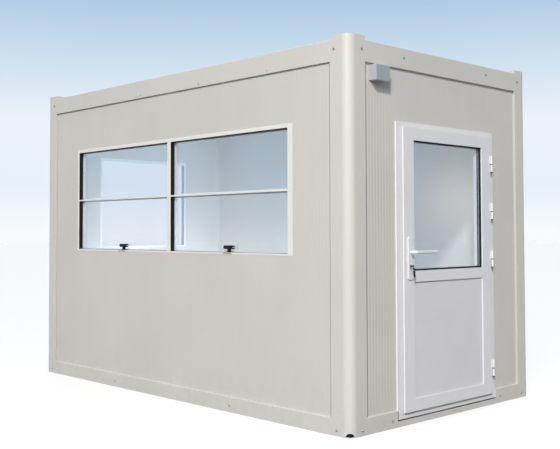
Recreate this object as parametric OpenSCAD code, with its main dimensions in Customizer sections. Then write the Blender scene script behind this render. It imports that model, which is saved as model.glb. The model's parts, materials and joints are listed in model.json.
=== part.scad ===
// Guard booth: a cabin of folded steel posts and beams, filled with sandwich panels,
// with a window band in the front, a window in the left end and a glazed door in the
// right end. Millimetres, +Z up, origin at the centre of the footprint on the ground.
// The front faces -Y and the door faces +X.

/* [Overall] */
// Length over the corner posts
booth_length = 3854; // [3000:2:5000]
// Width over the corner posts
booth_width = 2146; // [1900:2:3000]
// Height from the ground to the post tops
booth_height = 2600; // [2450:10:3000]

/* [Steel frame] */
// Width of each of a corner post's two faces
post_face = 165; // [150:1:210]
// Radius of a post's rounded outer corner
corner_r = 64; // [45:1:75]
// Thickness of the folded sheet in posts and beams
sheet_t = 4; // [2:0.5:6]
// Height of the top beams
top_beam_h = 145; // [135:1:190]
// How far the top beams lie below the post tops
top_beam_drop = 25; // [0:1:40]
// Reach of a top beam's lower flange and upper ledge, from the outer face
flange_reach = 110; // [100:1:140]
// Width of a top beam's rounded-over lip outside its gutter
beam_lip = 18; // [12:1:26]
// Depth of the gutter floor below the beam top
gutter_depth = 55; // [40:1:62]
// Height of the bottom beams
bottom_beam_h = 113; // [90:1:160]
// Radius of the half-round drain outlet at the foot of each post
drain_outlet_r = 30; // [15:1:34]
// Outer radius of the drain pipe inside each post
drain_pipe_r = 25; // [15:1:28]
// Wall of the drain pipe
drain_pipe_t = 3; // [2:0.5:5]
// Clearance between a drain pipe and the post's rounded corner
drain_pipe_gap = 2.5; // [1:0.5:5]

/* [Walls, floor and roof] */
// Thickness of the wall panels
panel_t = 60; // [50:1:80]
// How far the wall panels lie behind the faces of the posts
panel_recess = 15; // [12:1:30]
// Height of the floor joists
joist_h = 46; // [30:1:60]
// Width of the floor joists
joist_w = 60; // [40:1:90]
// Number of floor joists
joist_count = 7; // [3:2:13]
// Clearance between the end joists and the end beams
joist_end_gap = 20; // [10:1:60]
// Thickness of the floor board
floor_t = 18; // [12:1:24]
// Thickness of the ceiling panel
ceiling_t = 60; // [40:1:70]
// How far the roof sheet lies below the beam tops
roof_drop = 25; // [15:1:35]
// Clearance between the roof sheet and the gutter
roof_edge_gap = 4; // [2:1:10]
// Thickness of the roof sheet
roof_t = 2; // [1:0.5:4]
// Height of a roof rib
rib_h = 35; // [15:1:45]
// Width of a roof rib at its foot
rib_foot = 90; // [60:1:120]
// Width of a roof rib at its crest
rib_crest = 40; // [20:1:50]
// Distance from roof rib to roof rib
rib_pitch = 260; // [180:1:400]

/* [Windows] */
// Outside width of the front window band
front_window_w = 2790; // [1800:1:2900]
// Outside width of the window in the left end
end_window_w = 1080; // [600:1:1400]
// Height of the wall between the windows and the top beams
wall_over_window = 368; // [250:1:500]
// Outside height of the windows
window_h = 912; // [700:1:1050]
// How far a window frame stands out from the wall panel
window_proud = 2; // [1:1:10]
// Width of the front frame's face left of its panes, where the tracks run
front_left_lip = 25; // [16:1:60]
// Width of the front frame's face right of its panes
front_right_lip = 47; // [22:1:60]
// Width of the end frame's face beside its pane
end_window_lip = 20; // [16:1:60]
// Height of the frames' faces over the panes
window_head_lip = 28; // [18:1:45]
// Height of the frames' faces under the panes
window_sill_lip = 13; // [12:1:30]
// How far the frame's face laps over the wall panel
window_lap = 10; // [4:1:15]
// Width of the upright between the front panes
mullion_w = 44; // [30:1:80]
// Distance from the windows' upper edge to the middle of the level bar
bar_drop = 460; // [300:1:560]
// Height of the level bar
bar_h = 11; // [8:1:30]
// Depth from the front frame's face to its glass
front_pane_depth = 35; // [30:1:45]
// Depth from the end frame's face to its glass
end_pane_depth = 50; // [30:1:52]
// Thickness of all glass
glass_t = 6; // [4:0.5:8]
// Width of the stop behind the glass
pane_stop = 10; // [6:1:16]
// Thickness of the black track at the left side and the head of a front light
track_t = 5; // [3:0.5:12]
// How far the track lies behind the frame's face
track_setback = 2; // [1:0.5:8]
// Length of a window latch's grip
latch_w = 114; // [80:1:140]
// Height of a window latch's grip
latch_h = 27; // [18:1:30]
// Thickness of a window latch's grip
latch_t = 18; // [8:1:20]
// Width of the latch's foot
latch_foot_w = 24; // [16:1:40]
// Height of the latch's foot
latch_foot_h = 25; // [10:1:40]
// Length of the slot in the latch's right end
latch_slot_l = 28; // [16:1:36]
// Height of that slot
latch_slot_h = 6; // [3:0.5:8]
// Clearance between a latch and the glass
latch_glass_gap = 6; // [3:1:12]
// How far a latch stands to the right of its light's middle
latch_shift = 28; // [0:1:60]

/* [Door frame] */
// Outside width of the door frame
door_frame_w = 1178; // [900:1:1300]
// Height of the wall between the door frame and the top beam
wall_over_door = 364; // [200:1:500]
// Height of the door frame's lower edge
door_foot_z = 46; // [20:1:70]
// How far the door frame stands out from the wall panel
door_frame_proud = 10; // [6:1:14]
// Width of the frame's uprights
jamb_w = 74; // [60:1:110]
// Height of the frame's head
head_h = 46; // [40:1:80]
// Height of the frame's sill
sill_h = 56; // [35:1:70]
// Width of the stop inside the frame
frame_stop_w = 18; // [14:1:24]

/* [Door leaf] */
// How far the leaf laps over the frame
leaf_lap = 14; // [8:1:20]
// How far the leaf stands out from the frame
leaf_proud = 17; // [12:1:25]
// Clearance between the leaf's lap and the frame
lap_gap = 5; // [5:0.5:8]
// Clearance around the part of the leaf inside the frame
leaf_gap = 8; // [8:0.5:12]
// Depth of the leaf behind the frame's face
leaf_inset = 50; // [46:1:54]
// Width of the leaf's uprights
stile_w = 113; // [100:1:160]
// Height of the leaf's top rail
top_rail_h = 88; // [70:1:130]
// Height of the leaf's bottom rail
bottom_rail_h = 82; // [70:1:160]
// Height of the middle rail
mid_rail_h = 76; // [60:1:120]
// Height of the middle rail's lower edge
mid_rail_z = 968; // [880:1:1000]
// Depth from the leaf's face to its glass
door_glass_depth = 22; // [14:1:28]
// Face width of the black seal around the door glass
seal_w = 11; // [6:1:16]
// Width of the seal's outer edge
seal_edge = 2; // [1:0.5:4]
// How far the seal lies behind the leaf's face
seal_setback = 10; // [1:0.5:12]
// Depth from the leaf's face to the lower panel
door_panel_depth = 10; // [8:1:24]
// Thickness of the lower panel
door_panel_t = 24; // [16:1:30]
// Width of the stop behind the glass and the panel
leaf_stop = 12; // [8:1:18]

/* [Hinges] */
// Height of a hinge
hinge_h = 124; // [90:1:150]
// Distance from the leaf's top to the middle of the highest hinge
hinge_head = 206; // [150:1:240]
// Distance from the leaf's foot to the middle of the lowest hinge
hinge_foot = 192; // [150:1:240]
// Distance between the three upper hinges
hinge_pitch = 361; // [300:1:420]
// Radius of a hinge knuckle
knuckle_r = 7.5; // [7:0.5:12]
// Radius of a hinge pin
pin_r = 4; // [3:0.5:5]
// Running clearance around a pin or a handle neck
running_gap = 0.05; // [0.02:0.01:0.1]
// Clearance between a hinge's two knuckles
knuckle_gap = 2; // [0.5:0.5:3]
// Distance from the leaf's edge and face to the hinge axis
hinge_out = 8; // [8:0.5:12]
// Thickness of the hinge plates
hinge_plate_t = 4; // [3:0.5:5]
// Width of the hinge plates
hinge_plate_w = 18; // [14:1:30]

/* [Handle and lock] */
// Height of the handle's spindle
handle_z = 1174; // [1080:1:1250]
// Distance from the leaf's edge to the spindle
handle_inset = 57; // [50:1:80]
// Width of the handle plates
plate_w = 41; // [34:1:50]
// Height of the handle plates
plate_h = 290; // [240:1:330]
// Thickness of the handle plates
plate_t = 10; // [6:1:12]
// Corner radius of the handle plates
plate_r = 12; // [6:1:16]
// Distance from the plate's top to the spindle
plate_above = 101; // [80:1:130]
// Length of a lever from the spindle to its tip
lever_length = 248; // [150:1:260]
// Reach of a lever from its plate
lever_reach = 46; // [38:1:56]
// Height of a lever's section
lever_h = 22; // [16:1:26]
// Thickness of a lever's section
lever_t = 14; // [10:1:16]
// Radius of a lever's bend, along its middle
lever_bend_r = 18; // [14:1:24]
// Radius of the neck that turns in the plate
neck_r = 9; // [8:0.5:11]
// Length of the neck outside the plate
neck_length = 10; // [6:1:14]
// Width of the square spindle
spindle_w = 8; // [7:0.5:10]
// Distance from the spindle down to the lock
lock_drop = 95; // [80:1:110]
// Radius of the lock's round part
lock_r = 8.5; // [7:0.5:10]
// Width of the lock's slim part
lock_slim_w = 10; // [8:0.5:12]
// Length of the lock's slim part
lock_slim_h = 23; // [18:0.5:26]
// How far the lock stands out from the plates
lock_proud = 3; // [1:0.5:5]

/* [Connection box] */
// Width of the connection box
box_w = 143; // [100:1:200]
// Height of the connection box
box_h = 106; // [80:1:160]
// Depth of the connection box
box_depth = 65; // [50:1:110]
// Depth of its cover
cover_depth = 24; // [12:1:36]
// How far the cover overhangs the box
cover_lip = 2; // [1:0.5:4]
// Distance from the corner post to the cover
box_post_gap = 50; // [5:1:100]
// Distance from the top beam down to the cover
box_beam_gap = 12; // [2:1:40]

/* [Hidden] */
$fn = 48;

// How far a cut runs past the face that it opens
past = 1;

half_length = booth_length / 2;
half_width = booth_width / 2;
long_run = booth_length - 2 * post_face;
short_run = booth_width - 2 * post_face;

// Depth of the walls' inner faces behind the faces of the posts
wall_depth = panel_recess + panel_t;
inner_length = booth_length - 2 * wall_depth;
inner_width = booth_width - 2 * wall_depth;

beam_top = booth_height - top_beam_drop;
beam_bottom = beam_top - top_beam_h;
floor_z = joist_h;
ceiling_z = beam_bottom + sheet_t;
roof_z = beam_top - roof_drop;
roof_length = inner_length - 2 * roof_edge_gap;
roof_width = inner_width - 2 * roof_edge_gap;

// Windows: depths are measured inwards from the faces of the posts
window_head_z = beam_bottom - wall_over_window;
window_sill_z = window_head_z - window_h;
bar_z = window_head_z - bar_drop;
window_d0 = panel_recess - window_proud;
front_pane_d0 = window_d0 + front_pane_depth;
end_pane_d0 = window_d0 + end_pane_depth;
light_z0 = window_sill_z + window_sill_lip;
light_z1 = window_head_z - window_head_lip;
front_levels = [[light_z0, bar_z - bar_h / 2], [bar_z + bar_h / 2, light_z1]];
end_levels = [[light_z0, light_z1]];
front_lights = light_edges(front_window_w, front_left_lip, front_right_lip, 2);
end_lights = light_edges(end_window_w, end_window_lip, end_window_lip, 1);

// Door: depths are measured inwards from the faces of the posts
door_head_z = beam_bottom - wall_over_door;
door_frame_d0 = panel_recess - door_frame_proud;
doorway_w = door_frame_w - 2 * jamb_w;
doorway_z0 = door_foot_z + sill_h;
doorway_z1 = door_head_z - head_h;
leaf_w = doorway_w + 2 * leaf_lap;
leaf_z0 = doorway_z0 - leaf_lap;
leaf_z1 = doorway_z1 + leaf_lap;
leaf_d0 = door_frame_d0 - leaf_proud;
lap_d1 = door_frame_d0 - lap_gap;
leaf_d1 = door_frame_d0 + leaf_inset;
frame_stop_d0 = leaf_d1 + leaf_gap;
door_light_w = leaf_w - 2 * stile_w;
door_glass_d0 = leaf_d0 + door_glass_depth;
door_glass_d1 = door_glass_d0 + glass_t;
door_glass_z0 = mid_rail_z + mid_rail_h;
door_glass_z1 = leaf_z1 - top_rail_h;
door_panel_d0 = leaf_d0 + door_panel_depth;
door_panel_d1 = door_panel_d0 + door_panel_t;
door_panel_z0 = leaf_z0 + bottom_rail_h;

// Hinges and handle, in the door wall's own directions
hinge_u = leaf_w / 2 + hinge_out;
hinge_d = leaf_d0 - hinge_out;
hinge_levels = [
    leaf_z0 + hinge_foot,
    leaf_z1 - hinge_head - 2 * hinge_pitch,
    leaf_z1 - hinge_head - hinge_pitch,
    leaf_z1 - hinge_head
];
spindle_u = handle_inset - leaf_w / 2;
lock_z = handle_z - lock_drop;
plate_z0 = handle_z + plate_above - plate_h;

// Colours
frame_grey = [0.78, 0.77, 0.75];
wall_grey = [0.80, 0.79, 0.77];
plastic_white = [0.89, 0.89, 0.88];
rubber_black = [0.09, 0.10, 0.10];
glass_blue = [0.62, 0.72, 0.80, 0.45];
roof_zinc = [0.70, 0.71, 0.72];
floor_grey = [0.52, 0.50, 0.47];
box_grey = [0.64, 0.66, 0.70];
lock_steel = [0.70, 0.70, 0.69];

// Placing: a wall is drawn as seen from outside, with u to the right along X,
// depth inwards along Y and heights along Z, and is then turned into its place

module on_front() { translate([0, -half_width, 0]) children(); }
module on_right() { translate([half_length, 0, 0]) rotate(90) children(); }
module on_rear() { translate([0, half_width, 0]) rotate(180) children(); }
module on_left() { translate([-half_length, 0, 0]) rotate(270) children(); }

// A slab with a (u, z) outline, between two depths of a wall
module across_wall(d0, d1) {
    translate([0, d1, 0]) rotate([90, 0, 0]) linear_extrude(d1 - d0) children();
}

// A bar with a (depth, z) section, along a wall
module along_wall(run) {
    translate([-run / 2, 0, 0]) rotate([90, 0, 90]) linear_extrude(run) children();
}

// An outline between two heights, centred across the wall
module centred(w, z0, z1) {
    translate([-w / 2, z0]) square([w, z1 - z0]);
}

// A level bar outline with round ends
module capsule(w, h) {
    square([w - h, h], center = true);
    for (side = [-1, 1]) translate([side * (w - h) / 2, 0]) circle(d = h);
}

// An outline with four round corners, centred
module rounded_rect(w, h, r) {
    square([w, h - 2 * r], center = true);
    square([w - 2 * r, h], center = true);
    for (x = [-1, 1], y = [-1, 1]) translate([x * (w / 2 - r), y * (h / 2 - r)]) circle(r);
}

// Steel frame

// A corner post's L-shaped outline, with its outer corner at the origin
module post_outline(inset) {
    r = corner_r - inset;
    side = post_face - 2 * inset;
    difference() {
        translate([inset, inset]) {
            translate([r, 0]) square([side - r, side]);
            translate([0, r]) square([r, side - r]);
            translate([r, r]) circle(r);
        }
        translate([wall_depth - inset, wall_depth - inset]) square(post_face);
    }
}

// How deep the drain outlet cuts along the post's diagonal to pass the rounded sheet
outlet_depth = corner_r * sqrt(2) - sqrt(pow(corner_r - sheet_t, 2) - pow(drain_outlet_r, 2));
// Place of the drain pipe behind the rounded corner
pipe_inset = corner_r - (corner_r - sheet_t - drain_pipe_gap - drain_pipe_r) / sqrt(2);

module post() {
    color(frame_grey) difference() {
        linear_extrude(booth_height) post_outline(0);
        translate([0, 0, sheet_t])
            linear_extrude(booth_height - 2 * sheet_t) post_outline(sheet_t);
        rotate([0, 90, 45]) cylinder(h = outlet_depth, r = drain_outlet_r);
    }
}

module drain_pipe() {
    translate([pipe_inset, pipe_inset, sheet_t]) difference() {
        cylinder(h = booth_height - 2 * sheet_t, r = drain_pipe_r);
        translate([0, 0, -past])
            cylinder(h = booth_height, r = drain_pipe_r - drain_pipe_t);
    }
}

module front_left_corner() { translate([-half_length, -half_width, 0]) children(); }
module front_right_corner() { translate([half_length, -half_width, 0]) rotate(90) children(); }
module rear_right_corner() { translate([half_length, half_width, 0]) rotate(180) children(); }
module rear_left_corner() { translate([-half_length, half_width, 0]) rotate(270) children(); }

module post_front_left() { front_left_corner() post(); }
module post_front_right() { front_right_corner() post(); }
module post_rear_right() { rear_right_corner() post(); }
module post_rear_left() { rear_left_corner() post(); }

module drain_pipes() {
    color(rubber_black) {
        front_left_corner() drain_pipe();
        front_right_corner() drain_pipe();
        rear_right_corner() drain_pipe();
        rear_left_corner() drain_pipe();
    }
}

// A sheet folded at right angles along the points of its middle line
module folded_sheet(path) {
    for (i = [1 : len(path) - 1]) {
        a = path[i - 1];
        b = path[i];
        low = [min(a.x, b.x), min(a.y, b.y)];
        size = [abs(a.x - b.x), abs(a.y - b.y)];
        translate(low - [sheet_t / 2, sheet_t / 2]) square(size + [sheet_t, sheet_t]);
    }
}

// A top beam: an outer web with a lower flange for the ceiling, and above it a gutter
// and a ledge for the roof sheet
module top_beam(run) {
    half_t = sheet_t / 2;
    gutter_out = beam_lip - half_t;
    gutter_in = wall_depth - half_t;
    color(frame_grey) along_wall(run) folded_sheet([
        [flange_reach - half_t, beam_bottom + half_t],
        [half_t, beam_bottom + half_t],
        [half_t, beam_top - half_t],
        [gutter_out, beam_top - half_t],
        [gutter_out, beam_top - gutter_depth + half_t],
        [gutter_in, beam_top - gutter_depth + half_t],
        [gutter_in, roof_z - half_t],
        [flange_reach - half_t, roof_z - half_t]
    ]);
}

module top_beam_front() { on_front() top_beam(long_run); }
module top_beam_right() { on_right() top_beam(short_run); }
module top_beam_rear() { on_rear() top_beam(long_run); }
module top_beam_left() { on_left() top_beam(short_run); }

// A bottom beam's outline on the wall, cut away over a doorway of the given width
module bottom_beam_outline(run, cut_w, inset) {
    difference() {
        centred(run, inset, bottom_beam_h - inset);
        if (cut_w > 0) centred(cut_w + 2 * inset, door_foot_z - inset, bottom_beam_h + past);
    }
}

module bottom_beam(run, cut_w = 0) {
    color(frame_grey) difference() {
        across_wall(0, wall_depth) bottom_beam_outline(run, cut_w, 0);
        across_wall(sheet_t, wall_depth - sheet_t)
            bottom_beam_outline(run + 2 * past, cut_w, sheet_t);
    }
}

module bottom_beam_front() { on_front() bottom_beam(long_run); }
module bottom_beam_right() { on_right() bottom_beam(short_run, door_frame_w); }
module bottom_beam_rear() { on_rear() bottom_beam(long_run); }
module bottom_beam_left() { on_left() bottom_beam(short_run); }

// Floor, ceiling and roof

// Box-section joists between the front and the rear bottom beam, one on the middle
module floor_joists() {
    reach = (inner_length - joist_w) / 2 - joist_end_gap;
    color(frame_grey) for (i = [0 : joist_count - 1])
        translate([reach * (2 * i / (joist_count - 1) - 1), 0, joist_h / 2]) difference() {
            cube([joist_w, inner_width, joist_h], center = true);
            cube([joist_w - 2 * sheet_t, inner_width + 2 * past, joist_h - 2 * sheet_t], center = true);
        }
}

module floor_board() {
    color(floor_grey) translate([-inner_length / 2, -inner_width / 2, floor_z])
        cube([inner_length, inner_width, floor_t]);
}

module ceiling_panel() {
    color(wall_grey) translate([-inner_length / 2, -inner_width / 2, ceiling_z])
        cube([inner_length, inner_width, ceiling_t]);
}

// Ribs run across the booth, so that rain drains to the long gutters
module roof_sheet() {
    each_side = floor((roof_length - rib_foot - rib_pitch) / 2 / rib_pitch);
    ribs = [for (i = [-each_side : each_side]) i * rib_pitch];
    under = concat(
        [[-roof_length / 2, 0]],
        [for (x = ribs) each [
            [x - rib_foot / 2, 0], [x - rib_crest / 2, rib_h],
            [x + rib_crest / 2, rib_h], [x + rib_foot / 2, 0]
        ]],
        [[roof_length / 2, 0]]
    );
    over = [for (i = [len(under) - 1 : -1 : 0]) under[i] + [0, roof_t]];
    color(roof_zinc) translate([0, roof_width / 2, roof_z]) rotate([90, 0, 0])
        linear_extrude(roof_width) polygon(concat(under, over));
}

// Walls

module wall_slab(u0, u1, z0, z1) {
    color(wall_grey) translate([u0, panel_recess, z0]) cube([u1 - u0, panel_t, z1 - z0]);
}

// The four panels of a wall around a window: one side, then above or below the opening
module wall_beside_window(run, window_w, side) {
    edge = window_w / 2 - window_lap;
    if (side < 0) wall_slab(-run / 2, -edge, bottom_beam_h, beam_bottom);
    else wall_slab(edge, run / 2, bottom_beam_h, beam_bottom);
}

module wall_below_window(window_w) {
    edge = window_w / 2 - window_lap;
    wall_slab(-edge, edge, bottom_beam_h, window_sill_z + window_lap);
}

module wall_above_window(window_w) {
    edge = window_w / 2 - window_lap;
    wall_slab(-edge, edge, window_head_z - window_lap, beam_bottom);
}

module front_wall_left() { on_front() wall_beside_window(long_run, front_window_w, -1); }
module front_wall_right() { on_front() wall_beside_window(long_run, front_window_w, 1); }
module front_wall_lower() { on_front() wall_below_window(front_window_w); }
module front_wall_upper() { on_front() wall_above_window(front_window_w); }

module left_wall_rear() { on_left() wall_beside_window(short_run, end_window_w, -1); }
module left_wall_front() { on_left() wall_beside_window(short_run, end_window_w, 1); }
module left_wall_lower() { on_left() wall_below_window(end_window_w); }
module left_wall_upper() { on_left() wall_above_window(end_window_w); }

module rear_wall() { on_rear() wall_slab(-long_run / 2, long_run / 2, bottom_beam_h, beam_bottom); }

module right_wall_front() {
    on_right() wall_slab(-short_run / 2, -door_frame_w / 2, bottom_beam_h, beam_bottom);
}

module right_wall_rear() {
    on_right() wall_slab(door_frame_w / 2, short_run / 2, bottom_beam_h, beam_bottom);
}

module right_wall_over_door() {
    on_right() wall_slab(-door_frame_w / 2, door_frame_w / 2, door_head_z, beam_bottom);
}

// Windows: a row of lights, each with one pane or with a lower and an upper pane

// The left and the right edge of each light
function light_edges(window_w, left_lip, right_lip, count) =
    let (w = (window_w - left_lip - right_lip - (count - 1) * mullion_w) / count)
    [for (i = [0 : count - 1])
        let (u = left_lip - window_w / 2 + i * (w + mullion_w)) [u, u + w]];

// The outlines of all panes, drawn in by inset
module panes(lights, levels, inset) {
    for (light = lights, level = levels)
        translate([light[0] + inset, level[0] + inset])
            square([light[1] - light[0] - 2 * inset, level[1] - level[0] - 2 * inset]);
}

// The face laps over the wall, the body fills the opening and stops the panes behind
module window_frame(window_w, lights, levels, pane_d0) {
    pane_d1 = pane_d0 + glass_t;
    color(plastic_white) difference() {
        union() {
            across_wall(window_d0, panel_recess) centred(window_w, window_sill_z, window_head_z);
            across_wall(panel_recess, wall_depth)
                centred(window_w - 2 * window_lap, window_sill_z + window_lap, window_head_z - window_lap);
        }
        across_wall(window_d0 - past, pane_d1) panes(lights, levels, 0);
        across_wall(pane_d1 - past, wall_depth + past) panes(lights, levels, pane_stop);
    }
}

module window_glass(lights, levels, pane_d0) {
    color(glass_blue) across_wall(pane_d0, pane_d0 + glass_t) panes(lights, levels, 0);
}

// A latch's outline: a grip on a foot, with a slot in the grip's right end
module latch_outline() {
    grip_z = latch_foot_h + latch_h / 2;
    difference() {
        union() {
            centred(latch_foot_w, 0, grip_z);
            translate([0, grip_z]) capsule(latch_w, latch_h);
        }
        translate([latch_w / 2 - latch_slot_l, grip_z - latch_slot_h / 2])
            square([latch_slot_l + past, latch_slot_h]);
    }
}

module front_window_frame() {
    on_front() window_frame(front_window_w, front_lights, front_levels, front_pane_d0);
}

module front_window_glass() { on_front() window_glass(front_lights, front_levels, front_pane_d0); }

// A track lines the left side and the head of each light and leaves out the level bar
module front_window_tracks() {
    color(rubber_black) on_front() across_wall(window_d0 + track_setback, front_pane_d0) difference() {
        panes(front_lights, front_levels, 0);
        for (light = front_lights)
            translate([light[0] + track_t, light_z0 - past])
                square([light[1] - light[0], light_z1 - track_t - light_z0 + past]);
    }
}

// One latch near the middle of each light, standing on the frame's sill
module front_window_latches() {
    d1 = front_pane_d0 - latch_glass_gap;
    color(rubber_black) on_front() for (light = front_lights)
        translate([(light[0] + light[1]) / 2 + latch_shift, 0, light_z0])
            across_wall(d1 - latch_t, d1) latch_outline();
}

module left_window_frame() {
    on_left() window_frame(end_window_w, end_lights, end_levels, end_pane_d0);
}

module left_window_glass() { on_left() window_glass(end_lights, end_levels, end_pane_d0); }

// Door

// The frame stands in the cut of the bottom beam and has a stop behind the leaf
module door_frame() {
    color(plastic_white) on_right() difference() {
        across_wall(door_frame_d0, wall_depth) centred(door_frame_w, door_foot_z, door_head_z);
        across_wall(door_frame_d0 - past, frame_stop_d0) centred(doorway_w, doorway_z0, doorway_z1);
        across_wall(frame_stop_d0 - past, wall_depth + past)
            centred(doorway_w - 2 * frame_stop_w, doorway_z0 + frame_stop_w, doorway_z1 - frame_stop_w);
    }
}

module door_light(inset) {
    centred(door_light_w - 2 * inset, door_glass_z0 + inset, door_glass_z1 - inset);
}

module door_field(inset) {
    centred(door_light_w - 2 * inset, door_panel_z0 + inset, mid_rail_z - inset);
}

// A lock's outline: a round part over a slim part with a round foot
module lock_outline() {
    translate([spindle_u, lock_z]) {
        circle(lock_r);
        translate([-lock_slim_w / 2, lock_slim_w / 2 - lock_slim_h])
            square([lock_slim_w, lock_slim_h - lock_slim_w / 2]);
        translate([0, lock_slim_w / 2 - lock_slim_h]) circle(d = lock_slim_w);
    }
}

module spindle_bore(d0, d1) {
    translate([spindle_u, d1, handle_z]) rotate([90, 0, 0])
        cylinder(h = d1 - d0, r = neck_r + running_gap);
}

// Stiles and rails: the outer part laps over the frame, the inner part fills the doorway
module door_leaf() {
    color(plastic_white) on_right() difference() {
        union() {
            across_wall(leaf_d0, lap_d1) centred(leaf_w, leaf_z0, leaf_z1);
            across_wall(lap_d1, leaf_d1)
                centred(doorway_w - 2 * leaf_gap, doorway_z0 + leaf_gap, doorway_z1 - leaf_gap);
        }
        across_wall(leaf_d0 - past, door_glass_d1) door_light(0);
        across_wall(leaf_d0, leaf_d1 + past) door_light(leaf_stop);
        across_wall(leaf_d0 - past, door_panel_d1) door_field(0);
        across_wall(leaf_d0, leaf_d1 + past) door_field(leaf_stop);
        across_wall(leaf_d0 - past, leaf_d1 + past) lock_outline();
        spindle_bore(leaf_d0 - past, leaf_d1 + past);
    }
}

module door_glass() {
    color(glass_blue) on_right() across_wall(door_glass_d0, door_glass_d1) door_light(0);
}

// A wedge-shaped seal that slopes from the leaf's face to the glass
module door_glass_seal() {
    d0 = leaf_d0 + seal_setback;
    height = door_glass_z1 - door_glass_z0;
    mouth = [door_light_w - 2 * seal_edge, height - 2 * seal_edge];
    throat = [door_light_w - 2 * seal_w, height - 2 * seal_w];
    color(rubber_black) on_right() difference() {
        across_wall(d0, door_glass_d0) door_light(0);
        translate([0, door_glass_d0, (door_glass_z0 + door_glass_z1) / 2]) rotate([90, 0, 0])
            linear_extrude(door_glass_d0 - d0, slices = 1, scale = [mouth.x / throat.x, mouth.y / throat.y])
                square(throat, center = true);
    }
}

module door_lower_panel() {
    color(plastic_white) on_right() across_wall(door_panel_d0, door_panel_d1) door_field(0);
}

// Hinges: the frame's half is below and carries the pin, the leaf's half turns on it

module at_hinges() {
    for (z = hinge_levels) translate([hinge_u, hinge_d, z]) children();
}

module frame_hinge_halves() {
    half_h = (hinge_h - knuckle_gap) / 2;
    to_frame = door_frame_d0 - hinge_d;
    color(plastic_white) on_right() at_hinges() {
        translate([0, 0, -hinge_h / 2]) {
            cylinder(h = half_h, r = knuckle_r);
            translate([knuckle_r - hinge_plate_t, 0, 0]) cube([hinge_plate_t, to_frame, half_h]);
            translate([knuckle_r - hinge_plate_t, to_frame - hinge_plate_t, 0])
                cube([hinge_plate_w, hinge_plate_t, half_h]);
            cylinder(h = hinge_h - knuckle_gap, r = pin_r);
        }
    }
}

module door_hinge_halves() {
    half_h = (hinge_h - knuckle_gap) / 2;
    color(plastic_white) on_right() at_hinges()
        translate([0, 0, knuckle_gap / 2]) difference() {
            union() {
                cylinder(h = half_h, r = knuckle_r);
                translate([-hinge_plate_w, hinge_out - hinge_plate_t, 0])
                    cube([hinge_plate_w - pin_r, hinge_plate_t, half_h]);
            }
            translate([0, 0, -past]) cylinder(h = hinge_h, r = pin_r + running_gap);
        }
}

// Handle and lock

module handle_plates() {
    color(plastic_white) on_right() for (d0 = [leaf_d0 - plate_t, leaf_d1]) difference() {
        across_wall(d0, d0 + plate_t)
            translate([spindle_u, plate_z0 + plate_h / 2]) rounded_rect(plate_w, plate_h, plate_r);
        across_wall(d0 - past, d0 + plate_t + past) lock_outline();
        spindle_bore(d0 - past, d0 + plate_t + past);
    }
}

module lock_cylinder() {
    color(lock_steel) on_right()
        across_wall(leaf_d0 - plate_t - lock_proud, leaf_d1 + plate_t + lock_proud) lock_outline();
}

// A lever's section: flat sides with a round top and a round bottom
module lever_section() {
    rotate(90) capsule(lever_h, lever_t);
}

// One lever on the outer face of its plate: a neck along Y, then a bend to +X
module lever() {
    stem_y = lever_reach - lever_bend_r;
    rotate([-90, 0, 0]) translate([0, 0, -plate_t]) cylinder(h = plate_t + neck_length, r = neck_r);
    translate([0, stem_y, 0]) rotate([90, 0, 0]) linear_extrude(stem_y - neck_length / 2) lever_section();
    translate([lever_bend_r, stem_y, 0]) rotate(90) rotate_extrude(angle = 90)
        translate([lever_bend_r, 0]) lever_section();
    translate([lever_bend_r, lever_reach, 0]) rotate([90, 0, 90])
        linear_extrude(lever_length - lever_t / 2 - lever_bend_r) lever_section();
    translate([lever_length - lever_t / 2, lever_reach, 0]) rotate(-90) rotate_extrude(angle = 180)
        intersection() {
            lever_section();
            translate([0, -lever_h]) square(2 * lever_h);
        }
}

module door_handle() {
    spindle_l = leaf_d1 - leaf_d0;
    color(plastic_white) on_right() translate([spindle_u, 0, handle_z]) {
        translate([0, leaf_d0 - plate_t, 0]) mirror([0, 1, 0]) lever();
        translate([0, leaf_d1 + plate_t, 0]) lever();
        translate([-spindle_w / 2, leaf_d0, -spindle_w / 2]) cube([spindle_w, spindle_l, spindle_w]);
    }
}

// A shallow box on the wall panel with a cover that overhangs it
module connection_box() {
    u0 = -short_run / 2 + box_post_gap;
    z1 = beam_bottom - box_beam_gap;
    d0 = panel_recess - box_depth;
    color(box_grey) on_right() {
        translate([u0, d0, z1 - box_h]) cube([box_w, cover_depth, box_h]);
        translate([u0 + cover_lip, d0 + cover_depth, z1 - box_h + cover_lip])
            cube([box_w - 2 * cover_lip, box_depth - cover_depth, box_h - 2 * cover_lip]);
    }
}

post_front_left();
post_front_right();
post_rear_right();
post_rear_left();
drain_pipes();
bottom_beam_front();
bottom_beam_right();
bottom_beam_rear();
bottom_beam_left();
top_beam_front();
top_beam_right();
top_beam_rear();
top_beam_left();
floor_joists();
floor_board();
ceiling_panel();
roof_sheet();
front_wall_left();
front_wall_right();
front_wall_lower();
front_wall_upper();
left_wall_front();
left_wall_rear();
left_wall_lower();
left_wall_upper();
rear_wall();
right_wall_front();
right_wall_rear();
right_wall_over_door();
front_window_frame();
front_window_tracks();
front_window_glass();
front_window_latches();
left_window_frame();
left_window_glass();
door_frame();
frame_hinge_halves();
connection_box();
door_leaf();
door_glass();
door_glass_seal();
door_lower_panel();
door_hinge_halves();
handle_plates();
lock_cylinder();
door_handle();
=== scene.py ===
import json
import math

import bmesh
import bpy
from mathutils import Matrix, Vector


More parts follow.
